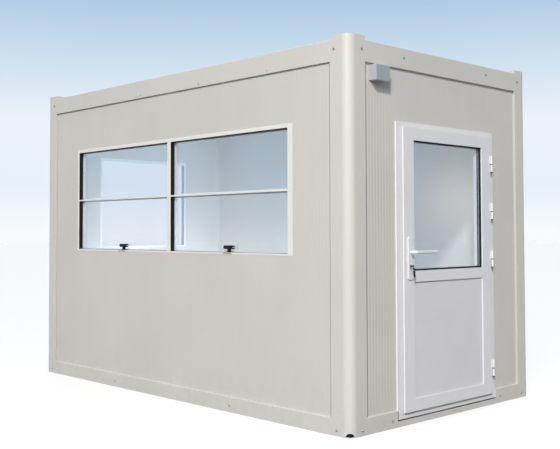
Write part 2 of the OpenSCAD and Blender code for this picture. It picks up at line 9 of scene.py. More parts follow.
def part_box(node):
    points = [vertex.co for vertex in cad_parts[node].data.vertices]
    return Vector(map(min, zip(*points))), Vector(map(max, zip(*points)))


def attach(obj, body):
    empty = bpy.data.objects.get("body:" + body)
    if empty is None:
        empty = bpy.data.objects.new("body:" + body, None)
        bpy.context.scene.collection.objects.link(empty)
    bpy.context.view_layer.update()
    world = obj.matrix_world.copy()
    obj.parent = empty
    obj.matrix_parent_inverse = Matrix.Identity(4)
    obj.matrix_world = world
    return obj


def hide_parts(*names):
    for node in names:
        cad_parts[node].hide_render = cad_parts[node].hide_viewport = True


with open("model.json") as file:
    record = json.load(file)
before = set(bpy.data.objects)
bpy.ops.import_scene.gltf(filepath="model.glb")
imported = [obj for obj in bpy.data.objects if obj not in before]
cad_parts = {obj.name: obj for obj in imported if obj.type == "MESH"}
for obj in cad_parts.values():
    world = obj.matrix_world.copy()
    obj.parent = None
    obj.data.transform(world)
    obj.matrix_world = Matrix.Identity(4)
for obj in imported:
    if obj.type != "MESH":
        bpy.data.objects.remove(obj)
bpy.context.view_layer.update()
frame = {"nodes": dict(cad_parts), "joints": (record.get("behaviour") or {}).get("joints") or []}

# Lengths are in metres, and surface colours are sRGB levels of 0 to 255
X = Vector((1, 0, 0))
Y = Vector((0, 1, 0))
UP = Vector((0, 0, 1))
HALF_LENGTH, HALF_WIDTH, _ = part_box("post_rear_right")[1]
TOLERANCE = 1e-4

# Each wall as seen from outside: its middle on the ground, the way along it and the way out
WALLS = {
    "front": (Vector((0, -HALF_WIDTH, 0)), Vector((1, 0, 0)), Vector((0, -1, 0))),
    "right": (Vector((HALF_LENGTH, 0, 0)), Vector((0, 1, 0)), Vector((1, 0, 0))),
    "rear": (Vector((0, HALF_WIDTH, 0)), Vector((-1, 0, 0)), Vector((0, 1, 0))),
    "left": (Vector((-HALF_LENGTH, 0, 0)), Vector((0, -1, 0)), Vector((-1, 0, 0))),
}


def on_wall(wall, along, z, out=0.0):
    """The matrix that puts local X along a wall, local Y upwards and local Z out of it."""
    middle, run, outward = WALLS[wall]
    turn = Matrix((run, UP, outward)).transposed().to_4x4()
    return Matrix.Translation(middle + run * along + outward * out + UP * z) @ turn


# Materials

# The part of a noise texture's values that holds most of them
NOISE_RANGE = (0.3, 0.7)

# Weather on the painted sheet: shares of the colour, and the height that splashed dust reaches
STREAK_SHARE = 0.06
DUST_SHARE = 0.12
DUST_ROUGHNESS = 0.2
DUST_TOP = 0.42


def linear(r, g, b):
    """An sRGB colour of 0 to 255 as linear RGBA."""
    shares = [c / 255 for c in (r, g, b)]
    return [c / 12.92 if c <= 0.04045 else ((c + 0.055) / 1.055) ** 2.4 for c in shares] + [1.0]


def shifted(colour, *steps):
    """A colour with a step added to each channel, as linear RGBA."""
    return linear(*(c + step for c, step in zip(colour, steps)))


class Nodes:
    """A node tree with short ways to add to it."""

    def __init__(self, tree):
        self.tree = tree

    def add(self, kind, settings=None, **inputs):
        """A new node: settings are its properties, inputs its sockets' values or sources."""
        node = self.tree.nodes.new(kind)
        for key, value in (settings or {}).items():
            setattr(node, key, value)
        for key, value in inputs.items():
            self.feed(node.inputs[key.replace("_", " ")], value)
        return node

    def feed(self, socket, value):
        """Link a source to a socket, or set the socket's value."""
        if isinstance(value, bpy.types.NodeSocket):
            self.tree.links.new(value, socket)
        else:
            socket.default_value = value

    def math(self, operation, a, b):
        """A sum, product or the like of two values."""
        node = self.add("ShaderNodeMath", {"operation": operation})
        self.feed(node.inputs[0], a)
        self.feed(node.inputs[1], b)
        return node.outputs[0]

    def blend(self, factor, a, b):
        """Two shaders mixed by a factor."""
        node = self.add("ShaderNodeMixShader")
        for socket, value in zip(node.inputs, (factor, a, b)):
            self.feed(socket, value)
        return node.outputs[0]

    def seen(self):
        """1 for rays from the camera, from mirrors and through glass, 0 for the rest."""
        rays = self.add("ShaderNodeLightPath").outputs
        mirrored = self.math("MAXIMUM", rays["Is Camera Ray"], rays["Is Glossy Ray"])
        return self.math("MAXIMUM", mirrored, rays["Is Transmission Ray"])


class Look(Nodes):
    """A material with its Principled shader."""

    def __init__(self, name):
        self.material = bpy.data.materials.new(name)
        self.material.use_nodes = True
        super().__init__(self.material.node_tree)
        self.shader = self.tree.nodes["Principled BSDF"]
        self.out = self.tree.nodes["Material Output"]
        self.place = self.tree.nodes.new("ShaderNodeTexCoord").outputs["Object"]

    def stretched(self, x, y, z):
        """Object coordinates scaled along the three axes."""
        return self.add("ShaderNodeMapping", Vector=self.place, Scale=(x, y, z)).outputs["Vector"]

    def noise(self, scale, detail=3.0, roughness=0.5, place=None):
        """A noise texture's values."""
        node = self.add(
            "ShaderNodeTexNoise", Vector=place or self.place, Scale=scale, Detail=detail, Roughness=roughness
        )
        return node.outputs["Fac"]

    def cells(self, scale, channel):
        """One random value for each cell of a Voronoi texture."""
        texture = self.add("ShaderNodeTexVoronoi", Vector=self.place, Scale=scale)
        return self.add("ShaderNodeSeparateColor", Color=texture.outputs["Color"]).outputs[channel]

    def span(self, value, low, high, to_low=0.0, to_high=1.0, smooth=False):
        """A value taken from one range to another."""
        kind = "SMOOTHSTEP" if smooth else "LINEAR"
        node = self.add("ShaderNodeMapRange", {"interpolation_type": kind}, Value=value)
        for key, number in zip(("From Min", "From Max", "To Min", "To Max"), (low, high, to_low, to_high)):
            node.inputs[key].default_value = number
        return node.outputs["Result"]

    def spread(self, noise, to_low=0.0, to_high=1.0):
        """A noise texture's values spread over a range."""
        return self.span(noise, *NOISE_RANGE, to_low, to_high)

    def mix(self, factor, a, b):
        """Two colours mixed by a factor: sockets 6 and 7 of the Mix node, with the result in socket 2."""
        node = self.add("ShaderNodeMix", {"data_type": "RGBA"})
        self.feed(node.inputs[0], factor)
        self.feed(node.inputs[6], a)
        self.feed(node.inputs[7], b)
        return node.outputs[2]

    def height(self):
        """Height above the ground."""
        return self.add("ShaderNodeSeparateXYZ", Vector=self.place).outputs["Z"]

    def bump(self, value, strength, distance):
        """A fine relief on the surface."""
        node = self.add("ShaderNodeBump", Height=value, Strength=strength, Distance=distance)
        self.feed(self.shader.inputs["Normal"], node.outputs["Normal"])

    def set(self, **inputs):
        """Values or sources for the Principled shader."""
        for key, value in inputs.items():
            self.feed(self.shader.inputs[key.replace("_", " ")], value)


def coated_steel(name, colour, rough, peel):
    """Factory-painted sheet: faint cloudy colour, rain streaks, splashed dust low down, a fine peel."""
    look = Look(name)
    cloudy = look.spread(look.noise(1.7, detail=4.0))
    streak = look.span(look.noise(9.0, roughness=0.55, place=look.stretched(1, 1, 0.06)), 0.45, 0.8)
    base = look.mix(cloudy, shifted(colour, -3, -3, -3), shifted(colour, 2, 2, 2))
    base = look.mix(look.math("MULTIPLY", streak, STREAK_SHARE), base, shifted(colour, -30, -31, -34))
    low = look.span(look.height(), 0.0, DUST_TOP, to_low=1.0, to_high=0.0, smooth=True)
    dust = look.math("MULTIPLY", low, look.span(look.noise(14.0, detail=5.0, roughness=0.65), 0.35, 0.75))
    base = look.mix(look.math("MULTIPLY", dust, DUST_SHARE), base, shifted(colour, -52, -58, -68))
    rougher = look.math("MULTIPLY", dust, DUST_ROUGHNESS)
    gloss = look.spread(look.noise(40.0, detail=2.0), rough - 0.04, rough + 0.05)
    look.set(Base_Color=base, Roughness=look.math("ADD", gloss, rougher), IOR=1.5)
    look.bump(look.noise(420.0, detail=2.0), strength=peel, distance=0.0004)
    return look.material


def moulded_plastic(name, colour, rough, cloud, grain, ior=1.5):
    """Extruded or moulded plastic: nearly even colour, slight handling gloss, a fine grain."""
    look = Look(name)
    cloudy = look.spread(look.noise(5.0))
    base = look.mix(cloudy, shifted(colour, -cloud, -cloud, -cloud), shifted(colour, 1, 1, 1))
    specks = look.span(look.noise(160.0, detail=2.0, roughness=0.6), 0.62, 0.78)
    speck_colour = linear(*(max(c - 40, 4) for c in colour))
    base = look.mix(look.math("MULTIPLY", specks, 0.03), base, speck_colour)
    gloss = look.spread(look.noise(22.0), rough - 0.05, rough + 0.06)
    look.set(Base_Color=base, Roughness=gloss, IOR=ior)
    look.bump(look.noise(700.0, detail=1.0), strength=grain, distance=0.0003)
    return look.material


def rubber(name, colour):
    """Seal rubber or sealant, a little dusty in patches."""
    look = Look(name)
    dust = look.span(look.noise(18.0, detail=4.0, roughness=0.6), 0.5, 0.85, to_low=0.0, to_high=0.3)
    look.set(Base_Color=look.mix(dust, linear(*colour), shifted(colour, 26, 26, 25)), IOR=1.3)
    look.set(Roughness=look.spread(look.noise(60.0, detail=2.0), 0.55, 0.72))
    look.bump(look.noise(900.0, detail=1.0), strength=0.15, distance=0.0003)
    return look.material


def bare_metal(name, colour, rough, brushed):
    """Plated metal: brushed along X, with cloudy plating."""
    look = Look(name)
    cloudy = look.spread(look.noise(60.0))
    base = look.mix(cloudy, shifted(colour, -14, -14, -14), shifted(colour, 8, 8, 8))
    lines = look.noise(900.0, detail=2.0, place=look.stretched(0.05, 1, 1))
    look.set(Base_Color=base, Metallic=1.0, Roughness=look.spread(lines, rough - 0.06, rough + 0.08))
    look.bump(lines, strength=brushed, distance=0.0002)
    return look.material


def zinc_sheet(name):
    """Galvanised roof sheet with its spangle."""
    look = Look(name)
    tone = look.cells(55.0, "Red")
    base = look.mix(tone, linear(168, 171, 174), linear(196, 198, 200))
    streaks = look.noise(3.0, detail=5.0, roughness=0.6, place=look.stretched(1, 0.2, 1))
    stain = look.span(streaks, 0.5, 0.8, to_low=0.0, to_high=0.3)
    look.set(Base_Color=look.mix(stain, base, linear(150, 146, 138)), Metallic=0.30)
    look.set(Roughness=look.span(tone, 0.0, 1.0, to_low=0.56, to_high=0.68))
    look.bump(look.noise(30.0, detail=2.0), strength=0.05, distance=0.001)
    return look.material


def vinyl_floor(name):
    """Speckled sheet vinyl."""
    look = Look(name)
    tone = look.cells(160.0, "Green")
    base = look.mix(look.span(tone, 0.55, 0.75), linear(150, 147, 140), linear(176, 172, 164))
    base = look.mix(look.span(tone, 0.9, 0.94, to_low=0.0, to_high=0.8), base, linear(96, 94, 90))
    look.set(Base_Color=base, Roughness=look.spread(look.noise(6.0, detail=4.0), 0.38, 0.55))
    look.bump(look.noise(350.0, detail=2.0), strength=0.08, distance=0.0004)
    return look.material


def clear_glass(name):
    """Window glass with a faint haze: nearly clear face on, more of a mirror at a slant."""
    look = Look(name)
    haze = look.noise(3.0)
    look.set(Base_Color=look.mix(haze, linear(222, 232, 240), linear(230, 238, 244)), Metallic=1.0)
    look.set(Roughness=look.spread(haze, 0.012, 0.03))
    clear = look.add("ShaderNodeBsdfTransparent", Color=linear(251, 252, 254)).outputs[0]
    slant = look.add("ShaderNodeLayerWeight", Blend=0.5).outputs["Facing"]
    mirror_share = look.span(look.math("MULTIPLY", slant, slant), 0.0, 1.0, to_low=0.03, to_high=0.45)
    mixed = look.blend(mirror_share, clear, look.shader.outputs[0])
    look.feed(look.out.inputs["Surface"], mixed)
    return look.material


LOOKS = {
    "frame_paint": coated_steel("frame_paint_look", (203, 201, 195), rough=0.50, peel=0.10),
    "panel_skin": coated_steel("panel_skin_look", (201, 198, 193), rough=0.50, peel=0.16),
    "white_plastic": moulded_plastic("white_plastic_look", (221, 221, 224), rough=0.50, cloud=3, grain=0.04),
    "hinge_white": moulded_plastic("hinge_white_look", (224, 224, 225), rough=0.36, cloud=4, grain=0.08),
    "black_rubber": rubber("black_rubber_look", (11, 13, 13)),
    "black_plastic": moulded_plastic(
        "black_plastic_look", (10, 11, 12), rough=0.55, cloud=3, grain=0.12, ior=1.3
    ),
    "glass": clear_glass("glass_look"),
    "floor_vinyl": vinyl_floor("floor_vinyl_look"),
    "roof_zinc": zinc_sheet("roof_zinc_look"),
    "box_plastic": moulded_plastic("box_plastic_look", (174, 176, 181), rough=0.55, cloud=4, grain=0.20),
    "lock_metal": bare_metal("lock_metal_look", (112, 111, 108), rough=0.38, brushed=0.10),
}
bolt_look = bare_metal("bolt_look", (150, 149, 146), rough=0.45, brushed=0.05)
seal_look = rubber("pale_seal_look", (168, 168, 170))
sealant_look = rubber("joint_sealant_look", (142, 141, 138))
# Dark grey for the door frame's foot strip: partly the seal's own colour, partly painted shadow under the
# sill
foot_seal_shade_look = rubber("foot_seal_painted_shade_look", (62, 63, 62))
window_look = moulded_plastic("window_white_look", (225, 225, 222), rough=0.50, cloud=3, grain=0.04)
panel_look = moulded_plastic("door_panel_look", (214, 213, 217), rough=0.50, cloud=3, grain=0.04)
cover_look = moulded_plastic("box_cover_look", (160, 164, 174), rough=0.58, cloud=5, grain=0.20)

# Every CAD node starts with the look of its slot
for node in frame["nodes"].values():
    slot = node.material_slots[0]
    slot.material = LOOKS[slot.material.name]


# Pieces

# Edges over the sharp angle are rounded, and faces within the flat angle are joined to one
SHARP_ANGLE = math.radians(50)
FLAT_ANGLE = math.radians(0.5)
WELD = 1e-6
EDGE_STEPS, FOLD_STEPS = 2, 3
ROUND_SIDES, HEX_SIDES = 24, 6


def soften(mesh, limit):
    """Smooth normals weighted by area, so that flat faces stay flat beside their rounded edges."""
    around = [[] for _ in mesh.vertices]
    for polygon in mesh.polygons:
        polygon.use_smooth = True
        for corner in polygon.vertices:
            around[corner].append((polygon.normal.copy(), polygon.area))
    normals = []
    for polygon in mesh.polygons:
        for corner in polygon.vertices:
            near = (n * area for n, area in around[corner] if n.dot(polygon.normal) > limit)
            normals.append(sum(near, Vector()).normalized())
    mesh.normals_split_custom_set(normals)


def piece(name, bm, body, slot, look=None, replaces=(), smooth=0.0):
    """A finished mesh as an object that rides on a body; faces within smooth degrees are shaded as one."""
    bmesh.ops.recalc_face_normals(bm, faces=bm.faces)
    mesh = bpy.data.meshes.new(name)
    bm.to_mesh(mesh)
    bm.free()
    mesh.materials.append(look or LOOKS[slot])
    if smooth:
        soften(mesh, math.cos(math.radians(smooth)))
    obj = bpy.data.objects.new(name, mesh)
    bpy.context.scene.collection.objects.link(obj)
    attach(obj, body)
    if replaces:
        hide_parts(*replaces)


def loft(bm, loops, closed=False):
    """Faces between neighbouring loops of points; the ends are capped, or joined where it is closed."""
    following = loops[1:] + loops[:1] if closed else loops[1:]
    for low, high in zip(loops, following):
        for i in range(len(low)):
            j = (i + 1) % len(low)
            bm.faces.new((low[i], low[j], high[j], high[i]))
    if not closed:
        bm.faces.new(loops[0])
        bm.faces.new(loops[-1])


def round_edges(bm, offset, segments, chosen=lambda edge: True):
    """Round the sharp edges of a mesh, or the chosen ones of them."""
    sharp = [
        e for e in bm.edges
        if len(e.link_faces) == 2 and e.calc_face_angle() > SHARP_ANGLE and chosen(e)
    ]
    bmesh.ops.bevel(
        bm, geom=sharp, offset=offset, offset_type="OFFSET", segments=segments, profile=0.5, affect="EDGES",
        clamp_overlap=True,
    )


# Edge radii of the CAD nodes that are shown with rounded edges
SHEET_EDGE = 0.0016
SHEET_FOLD = 0.006
WINDOW_EDGE = 0.0008
DOOR_FRAME_EDGE = 0.0025
BOX_EDGE = 0.0025
LEAF_EDGE = 0.0022
DOOR_PANEL_EDGE = 0.0012
PLATE_EDGE = 0.0020


def dressed(node_name, slot, body, bevel, fold=None, look=None):
    """A CAD node's own shape with its edges rounded; fold is a wall whose outer upper edge is a wide fold."""
    bm = bmesh.new()
    bm.from_mesh(frame["nodes"][node_name].data)
    bmesh.ops.remove_doubles(bm, verts=bm.verts, dist=WELD)
    bmesh.ops.dissolve_limit(bm, angle_limit=FLAT_ANGLE, verts=bm.verts, edges=bm.edges)
    if fold:
        middle, _, outward = WALLS[fold]
        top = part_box(node_name)[1].z
        round_edges(bm, SHEET_FOLD, FOLD_STEPS, lambda edge: all(
            v.co.z > top - TOLERANCE and (v.co - middle).dot(outward) > -TOLERANCE for v in edge.verts
        ))
    round_edges(bm, bevel, EDGE_STEPS)
    piece(node_name + "_dressed", bm, body, slot, look, replaces=[node_name], smooth=50)


for name in ("front_left", "front_right", "rear_right", "rear_left"):
    dressed("post_" + name, "frame_paint", "booth", SHEET_EDGE)
for side in ("front", "right", "rear", "left"):
    dressed("top_beam_" + side, "frame_paint", "booth", SHEET_EDGE, fold=side)
    dressed("bottom_beam_" + side, "frame_paint", "booth", SHEET_EDGE, fold=side)
dressed("front_window_frame", "white_plastic", "booth", WINDOW_EDGE, look=window_look)
dressed("left_window_frame", "white_plastic", "booth", WINDOW_EDGE, look=window_look)
dressed("door_frame", "white_plastic", "booth", DOOR_FRAME_EDGE)
dressed("connection_box", "box_plastic", "booth", BOX_EDGE)
dressed("door_leaf", "white_plastic", "door", LEAF_EDGE)
dressed("door_lower_panel", "white_plastic", "door", DOOR_PANEL_EDGE, look=panel_look)
dressed("handle_plates", "white_plastic", "door", PLATE_EDGE)

# Wall panels: shallow upright ribs in the outer skin, one rib profile all along a wall, as
# (distance along, how far it stands out), and a groove at the posts
RIB_PITCH = 0.030
RIB = ((0.0, 0.0003), (0.013, 0.0003), (0.017, -0.0002), (0.026, -0.0002), (0.030, 0.0003))
RIB_MARGIN = 1e-5
GROOVE_W, GROOVE_D = 0.010, 0.008


def rib_points(start, end):
    """The outer skin's points from start to end along a wall, each with how far it stands out."""

    def out_at(t):
        phase = t % RIB_PITCH
        for (t0, d0), (t1, d1) in zip(RIB, RIB[1:]):
            if phase <= t1:
                return d0 + (d1 - d0) * (phase - t0) / (t1 - t0)
        return RIB[-1][1]

    points = [(start, out_at(start))]
    for i in range(math.floor(start / RIB_PITCH), math.ceil(end / RIB_PITCH) + 1):
        for t, out in RIB[:-1]:
            if start + RIB_MARGIN < i * RIB_PITCH + t < end - RIB_MARGIN:
                points.append((i * RIB_PITCH + t, out))
    return points + [(end, out_at(end))]


def ribbed_wall(wall, nodes):
    """A wall's panels with their ribbed skins and a groove at the posts, in place of the plain slabs."""
    middle, run, outward = WALLS[wall]
    reach = max(abs((Vector(c) - middle).dot(run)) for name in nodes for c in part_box(name)) - TOLERANCE
    bm = bmesh.new()
    for name in nodes:
        corners = [Vector(c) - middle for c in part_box(name)]
        start, end = sorted(c.dot(run) for c in corners)
        inner, outer = sorted(c.dot(outward) for c in corners)
        skin_start = start + GROOVE_W if start < -reach else start
        skin_end = end - GROOVE_W if end > reach else end
        section = [(t, outer + out) for t, out in rib_points(skin_start, skin_end)]
        if skin_start > start:
            section = [(start, outer - GROOVE_D), (skin_start, outer - GROOVE_D)] + section
        if skin_end < end:
            section += [(skin_end, outer - GROOVE_D), (end, outer - GROOVE_D)]
        section += [(end, inner), (start, inner)]
        loft(bm, [
            [bm.verts.new(middle + run * t + outward * out + UP * c.z) for t, out in section] for c in corners
        ])
    piece(wall + "_wall_panels", bm, "booth", "panel_skin", replaces=nodes)


ribbed_wall("front", ["front_wall_left", "front_wall_right", "front_wall_lower", "front_wall_upper"])
ribbed_wall("left", ["left_wall_front", "left_wall_rear", "left_wall_lower", "left_wall_upper"])
ribbed_wall("rear", ["rear_wall"])
ribbed_wall("right", ["right_wall_front", "right_wall_rear", "right_wall_over_door"])

# Sealing fillets between the near post and the panels on both sides of it
FILLET_SUNK = 0.001
FILLET_STEPS = (0.04, 0.35, 0.7, 1.0)
FILLET_HOLLOW = 1.3


def joint_fillet(bm, wall, post_edge, reach, rise, node):
    """A fillet from a post's edge onto a panel; reach counts away from the post along the wall."""
    middle, _, outward = WALLS[wall]
    low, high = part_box(node)
    skin = max((Vector(c) - middle).dot(outward) for c in (low, high))
    section = [(0.0, skin - FILLET_SUNK), (reach, skin - FILLET_SUNK)]
    section += [(reach * (1 - t), skin + rise * t ** FILLET_HOLLOW) for t in FILLET_STEPS]
    loft(bm, [
        [bm.verts.new(on_wall(wall, post_edge + u, z, out).translation) for u, out in section]
        for z in (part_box("bottom_beam_" + wall)[1].z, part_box("top_beam_" + wall)[0].z)
    ])


post_lo, post_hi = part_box("post_front_right")
fillets = bmesh.new()
joint_fillet(fillets, "front", post_lo.x, reach=-0.019, rise=0.008, node="front_wall_right")
joint_fillet(fillets, "right", post_hi.y, reach=0.024, rise=0.009, node="right_wall_front")
piece("post_joint_fillets", fillets, "booth", "black_rubber", look=sealant_look, smooth=40)


def lathe(bm, matrix, profile, sides):
    """A solid with flat ends, turned about local Z from (radius, height) points."""
    turns = [2 * math.pi * i / sides for i in range(sides)]
    loft(bm, [
        [bm.verts.new(matrix @ Vector((radius * math.cos(t), radius * math.sin(t), z))) for t in turns]
        for radius, z in profile
    ])


def hex_bolt(bm, matrix, across):
    """A chamfered hexagon head on its washer."""
    washer, washer_top = across * 0.66, across * 0.6
    lathe(bm, matrix, ((washer, -0.0005), (washer, 0.0014), (washer_top, 0.0020)), ROUND_SIDES)
    corner = across / 2 / math.cos(math.pi / HEX_SIDES)
    head = across * 0.42
    profile = ((corner * 0.98, 0.0015), (corner, 0.0026), (corner, head - 0.0012), (corner * 0.86, head))
    lathe(bm, matrix, profile, HEX_SIDES)


# Bolts through the posts and beams, and small screws along the long top beams: the width over the
# flats, then places on both halves of a wall as (along, height), at the corners counted from the end
BOLT, SCREW = 0.013, 0.008
CORNER_BOLTS = ((0.128, 2.509), (0.117, 0.036))
END_BEAM_BOLTS = ((0.501, 2.509), (0.649, 0.052))
LONG_BEAM_BOLTS = ((0.748, 0.048),)
LONG_BEAM_SCREWS = ((0.386, 2.453), (1.158, 2.453))
bolts = bmesh.new()
for wall, wall_half, beam_bolts, beam_screws in (
    ("front", HALF_LENGTH, LONG_BEAM_BOLTS, LONG_BEAM_SCREWS),
    ("right", HALF_WIDTH, END_BEAM_BOLTS, ()),
    ("rear", HALF_LENGTH, LONG_BEAM_BOLTS, LONG_BEAM_SCREWS),
    ("left", HALF_WIDTH, END_BEAM_BOLTS, ()),
):
    for side in (-1, 1):
        for inset, z in CORNER_BOLTS:
            hex_bolt(bolts, on_wall(wall, side * (wall_half - inset), z), BOLT)
        for along, z in beam_bolts:
            hex_bolt(bolts, on_wall(wall, side * along, z), BOLT)
        for along, z in beam_screws:
            hex_bolt(bolts, on_wall(wall, side * along, z), SCREW)
piece("frame_bolts", bolts, "booth", "frame_paint", look=bolt_look, smooth=30)


def door_end_box(low, high, inset):
    """The outline (u0, u1, z0, z1) of a box on the door end, drawn in by an inset."""
    return low.y + inset, high.y - inset, low.z + inset, high.z - inset


def ring(bm, wall, outer, inner, out0, out1):
    """A rectangular ring on a wall: outer and inner are (u0, u1, z0, z1), out0 to out1 its thickness."""

    def corners(box, out):
        u0, u1, z0, z1 = box
        places = ((u0, z0), (u1, z0), (u1, z1), (u0, z1))
        return [bm.verts.new(on_wall(wall, u, z, out).translation) for u, z in places]

    loops = [corners(outer, out0), corners(outer, out1), corners(inner, out1), corners(inner, out0)]
    loft(bm, loops, closed=True)


# Pale seal on the door frame, behind the leaf's lap
SEAL_OUTER, SEAL_INNER = 0.002, 0.010
SEAL_SUNK, SEAL_RISE = 0.0005, 0.0042
frame_lo, frame_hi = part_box("door_frame")
leaf_lo, leaf_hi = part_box("door_leaf")
frame_front = frame_hi.x - HALF_LENGTH
seal = bmesh.new()
outer = door_end_box(leaf_lo, leaf_hi, SEAL_OUTER)
inner = door_end_box(leaf_lo, leaf_hi, SEAL_INNER)
ring(seal, "right", outer, inner, frame_front - SEAL_SUNK, frame_front + SEAL_RISE)
piece("door_frame_seal", seal, "booth", "white_plastic", look=seal_look)

# Inner glazing seal of the door, on the leaf's stop behind the pane
BEAD_OUTER, BEAD_INNER = 0.012, 0.013
BEAD_BACK, BEAD_FRONT = 0.0115, 0.0005
glass_lo, glass_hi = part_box("door_glass")
glass_back = glass_lo.x - HALF_LENGTH
bead = bmesh.new()
outer = door_end_box(glass_lo, glass_hi, BEAD_OUTER)
inner = door_end_box(glass_lo, glass_hi, BEAD_INNER)
ring(bead, "right", outer, inner, glass_back - BEAD_BACK, glass_back - BEAD_FRONT)
piece("door_inner_seal", bead, "door", "black_rubber")


def bent_strip(bm, wall, path, width, out0, out1):
    """A flat strip along square corners of a wall: path holds (u, z) points, width lies to its right."""
    sides = []
    for i, (u, z) in enumerate(path):
        ways = []
        for a, b in zip(path[max(i - 1, 0):i + 1], path[max(i, 1):i + 2]):
            length = math.hypot(b[0] - a[0], b[1] - a[1])
            ways.append(((b[1] - a[1]) / length, (a[0] - b[0]) / length))
        du, dz = (sum(w[k] for w in set(ways)) for k in (0, 1))
        sides.append(((u, z), (u + du * width, z + dz * width)))
    loft(bm, [
        [
            bm.verts.new(on_wall(wall, u, z, out).translation)
            for (u, z), out in ((a, out0), (a, out1), (b, out1), (b, out0))
        ]
        for a, b in sides
    ])


# Dark strip between the door frame's foot and the cut in the bottom beam: a seal whose dark grey also paints
# the shadow under the sill
STRIP_W = 0.0045
STRIP_SUNK, STRIP_RISE = 0.001, 0.0008
STRIP_DROP = 0.007
frame_half = frame_hi.y
strip_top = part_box("bottom_beam_right")[1].z - STRIP_DROP
strip_path = [(-frame_half, strip_top), (-frame_half, frame_lo.z), (frame_half, frame_lo.z)]
foot = bmesh.new()
bent_strip(foot, "right", strip_path, STRIP_W, frame_front - STRIP_SUNK, STRIP_RISE)
piece("door_frame_foot_seal_and_shade", foot, "booth", "black_rubber", look=foot_seal_shade_look)

# Hinges: a black collar under the upper knuckle and a black cap below each barrel
BARREL_H, BARREL_R, BARREL_GAP = 0.124, 0.0075, 0.002
HINGE_STEP = 0.361
COLLAR_H, COLLAR_EDGE = 0.0050, 0.0004
collar_r = BARREL_R + 0.0005
collar_top = BARREL_GAP / 2 - 0.0001
collar_profile = (
    (collar_r, -COLLAR_H), (collar_r, collar_top - COLLAR_EDGE), (collar_r - COLLAR_EDGE, collar_top),
)
barrel_foot = -BARREL_H / 2
cap_profile = (
    (0.0030, barrel_foot - 0.0060), (0.0060, barrel_foot - 0.0050),
    (collar_r, barrel_foot - 0.0020), (collar_r, barrel_foot + 0.0020),
)
axis = Vector(next(j["pos_m"] for j in frame["joints"] if j["name"] == "door_hinge"))
low_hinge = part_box("frame_hinge_halves")[0].z + BARREL_H / 2
top_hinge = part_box("door_hinge_halves")[1].z - BARREL_H / 2
collars = bmesh.new()
for z in (low_hinge, top_hinge - 2 * HINGE_STEP, top_hinge - HINGE_STEP, top_hinge):
    place = Matrix.Translation((axis.x, axis.y, z))
    lathe(collars, place, collar_profile, ROUND_SIDES)
    lathe(collars, place, cap_profile, ROUND_SIDES)
piece("hinge_collars", collars, "booth", "black_plastic", smooth=40)


def closed_tube(bm, points, radius, sides=12):
    """A round wire through a closed row of points."""
    turns = [2 * math.pi * k / sides for k in range(sides)]
    rows = []
    for i, point in enumerate(points):
        way = (points[(i + 1) % len(points)] - points[i - 1]).normalized()
        side = (side - way * side.dot(way)).normalized() if rows else way.orthogonal().normalized()
        across = way.cross(side)
        rows.append([
            bm.verts.new(point + radius * (math.cos(t) * side + math.sin(t) * across)) for t in turns
        ])
    loft(bm, rows, closed=True)


def slab(bm, outline, origin, x_way, y_way, thickness, bevel):
    """A plate with rounded edges: an outline in (x, y) about origin, centred on its own plane."""
    part = bmesh.new()
    normal = x_way.cross(y_way)
    loft(part, [
        [part.verts.new(origin + x_way * x + y_way * y + normal * (side * thickness / 2)) for x, y in outline]
        for side in (-1, 1)
    ])
    bmesh.ops.recalc_face_normals(part, faces=part.faces)
    round_edges(part, bevel, EDGE_STEPS)
    mesh = bpy.data.meshes.new("part")
    part.to_mesh(mesh)
    part.free()
    bm.from_mesh(mesh)
    bpy.data.meshes.remove(mesh)


def round_outline(half_w, low, high, radius, steps=6):
    """A rectangle with round corners, as (x, y) points."""
    points = []
    for cx, cy, start in (
        (half_w - radius, high - radius, 0), (radius - half_w, high - radius, 90),
        (radius - half_w, low + radius, 180), (half_w - radius, low + radius, 270),
    ):
        for k in range(steps + 1):
            angle = math.radians(start + 90 * k / steps)
            points.append((cx + radius * math.cos(angle), cy + radius * math.sin(angle)))
    return points


# Key in the outer lock, with its blade and bow, a ring, a round tag and a black fob
LOCK_R = 0.0085
RING_R, RING_WIRE_R, RING_STEPS = 0.010, 0.0010, 32
RING_OUT, RING_DOWN = 0.021, 0.013
FOB_LEAN = math.radians(8)
lock_lo, lock_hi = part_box("lock_cylinder")
key_at = Vector((lock_hi.x, (lock_lo.y + lock_hi.y) / 2, lock_hi.z - LOCK_R))
ring_at = key_at + X * RING_OUT - UP * RING_DOWN
blade = round_outline(half_w=0.0032, low=-0.004, high=0.012, radius=0.0015, steps=3)
bow = round_outline(half_w=0.0085, low=0.010, high=0.026, radius=0.0070)
ring_turns = [2 * math.pi * k / RING_STEPS for k in range(RING_STEPS)]
ring_points = [ring_at + RING_R * (math.cos(t) * Y + math.sin(t) * UP) for t in ring_turns]
key_metal = bmesh.new()
slab(key_metal, blade, key_at, UP, X, thickness=0.0022, bevel=0.0004)
slab(key_metal, bow, key_at, UP, X, thickness=0.0024, bevel=0.0006)
closed_tube(key_metal, ring_points, RING_WIRE_R)
piece("door_key", key_metal, "door", "lock_metal", smooth=40)

tag = round_outline(half_w=0.0085, low=-0.0085, high=0.0085, radius=0.0080)
tag_at = ring_at - UP * 0.006 + X * 0.003
grip = round_outline(half_w=0.0075, low=-0.044, high=0.0, radius=0.0045)
grip_at = ring_at - UP * 0.019 + Y * 0.007
lean = Matrix.Rotation(FOB_LEAN, 3, "X")
fob = bmesh.new()
slab(fob, tag, tag_at, Y, UP, thickness=0.0030, bevel=0.0008)
slab(fob, grip, grip_at, lean @ Y, lean @ UP, thickness=0.0070, bevel=0.0018)
piece("key_fob", fob, "door", "black_plastic", smooth=40)

